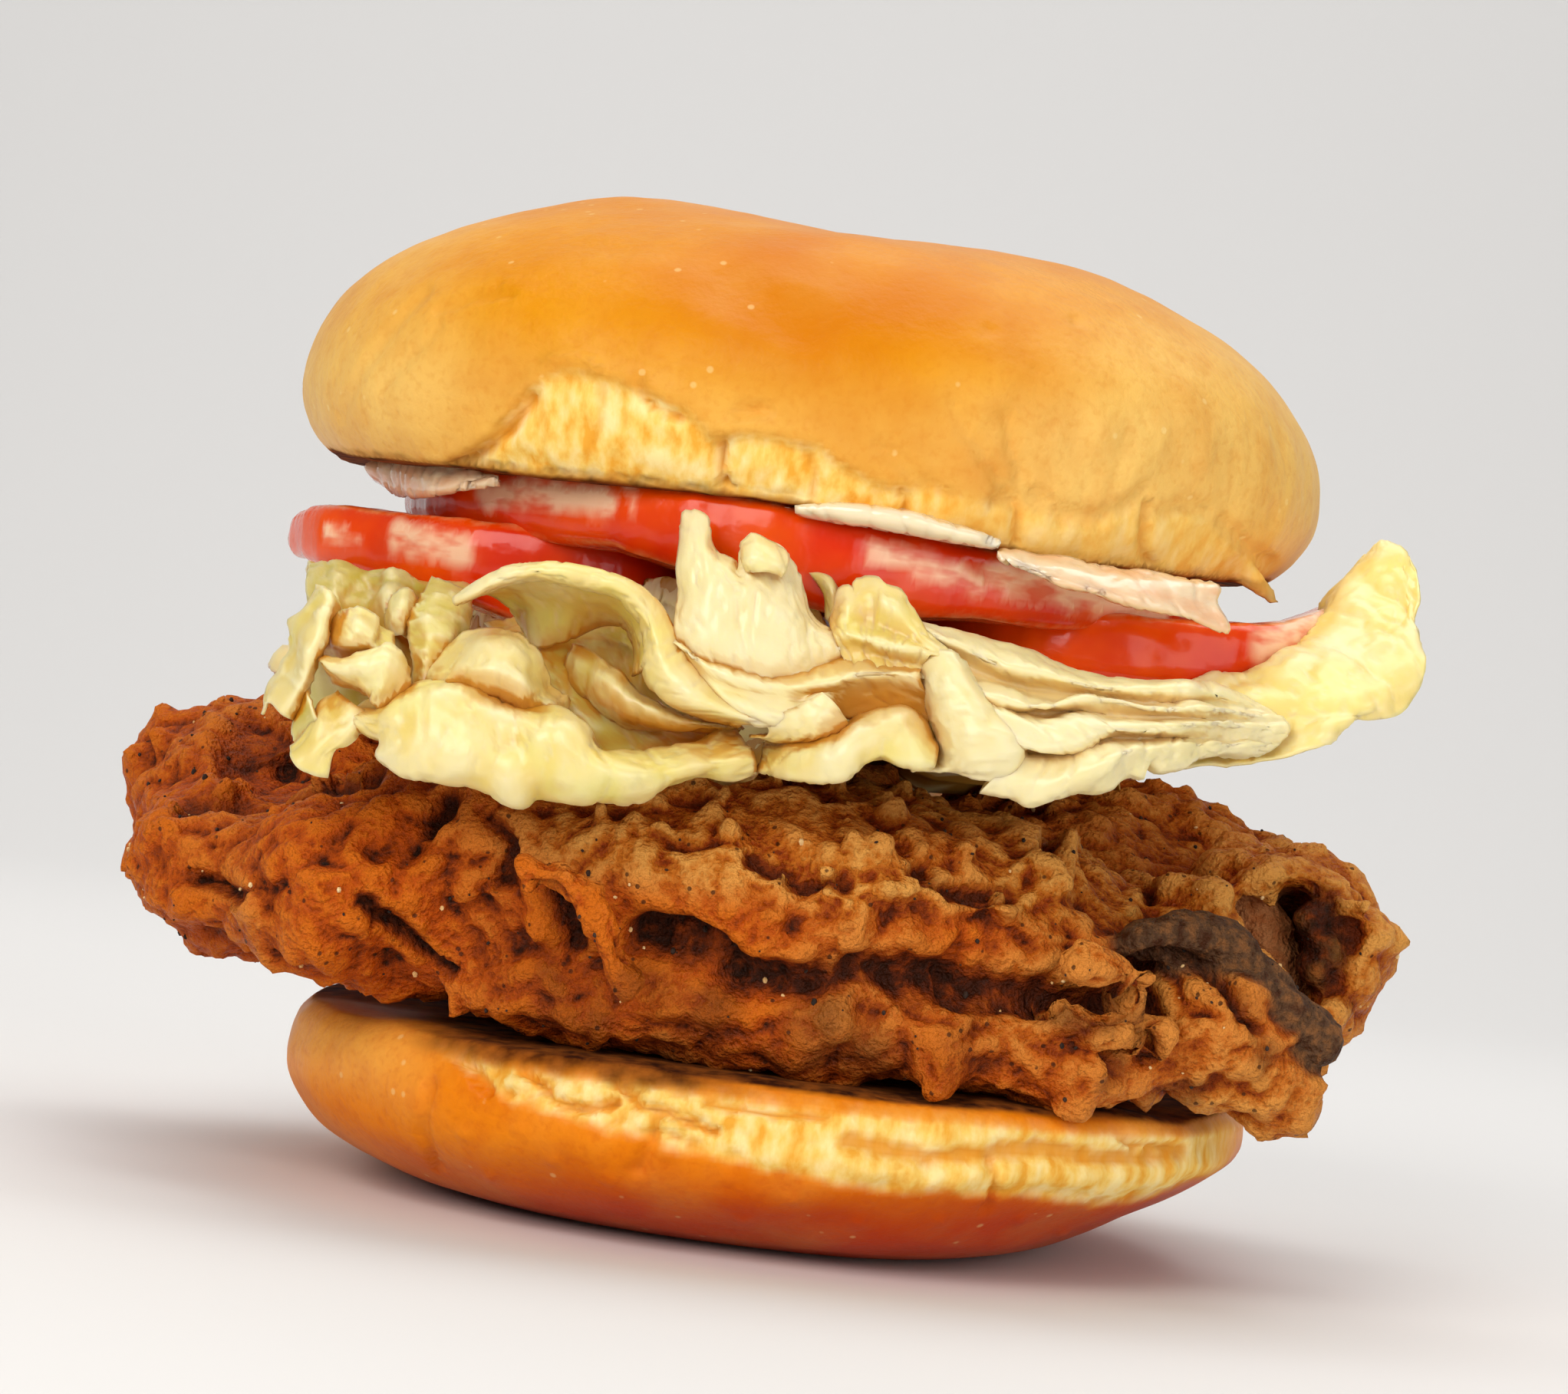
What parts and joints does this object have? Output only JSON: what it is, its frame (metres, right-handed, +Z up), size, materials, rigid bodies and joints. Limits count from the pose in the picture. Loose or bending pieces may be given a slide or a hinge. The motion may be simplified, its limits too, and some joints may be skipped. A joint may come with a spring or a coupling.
{
  "type": "chicken burger",
  "caption": "Soft round bun filled with a large craggy fried chicken fillet, lettuce leaves, tomato slices and mayonnaise, standing on its flat base.",
  "frame": {"origin": "middle of the lower bun half's flat underside, on the surface it stands on", "axes": "+Z up, +X to the right seen from the open front, along the fillet's length; the front faces -Y"},
  "size_m": [0.1382, 0.1201, 0.1055],
  "materials": {
    "baked_crust": "satin golden-brown baked crust, with pale torn crumb along the front",
    "fried_coating": "rough craggy fried coating, orange-brown with dark burnt and pepper specks",
    "tomato": "wet red flesh and skin",
    "lettuce": "pale cream-yellow iceberg lettuce, slightly waxy",
    "mayonnaise": "creamy, glossy"
  },
  "bodies": {
    "root": {"bun_heel": "baked_crust", "bun_crown": "baked_crust", "chicken_fillet": "fried_coating", "tomato_upper": "tomato", "tomato_lower_left": "tomato", "tomato_lower_right": "tomato", "mayonnaise": "mayonnaise", "lettuce_back": "lettuce", "lettuce_left": "lettuce", "lettuce_front_left": "lettuce", "lettuce_right": "lettuce", "lettuce_curl": "lettuce", "lettuce_front": "lettuce", "lettuce_upper_back": "lettuce"}
  },
  "joints": []
}
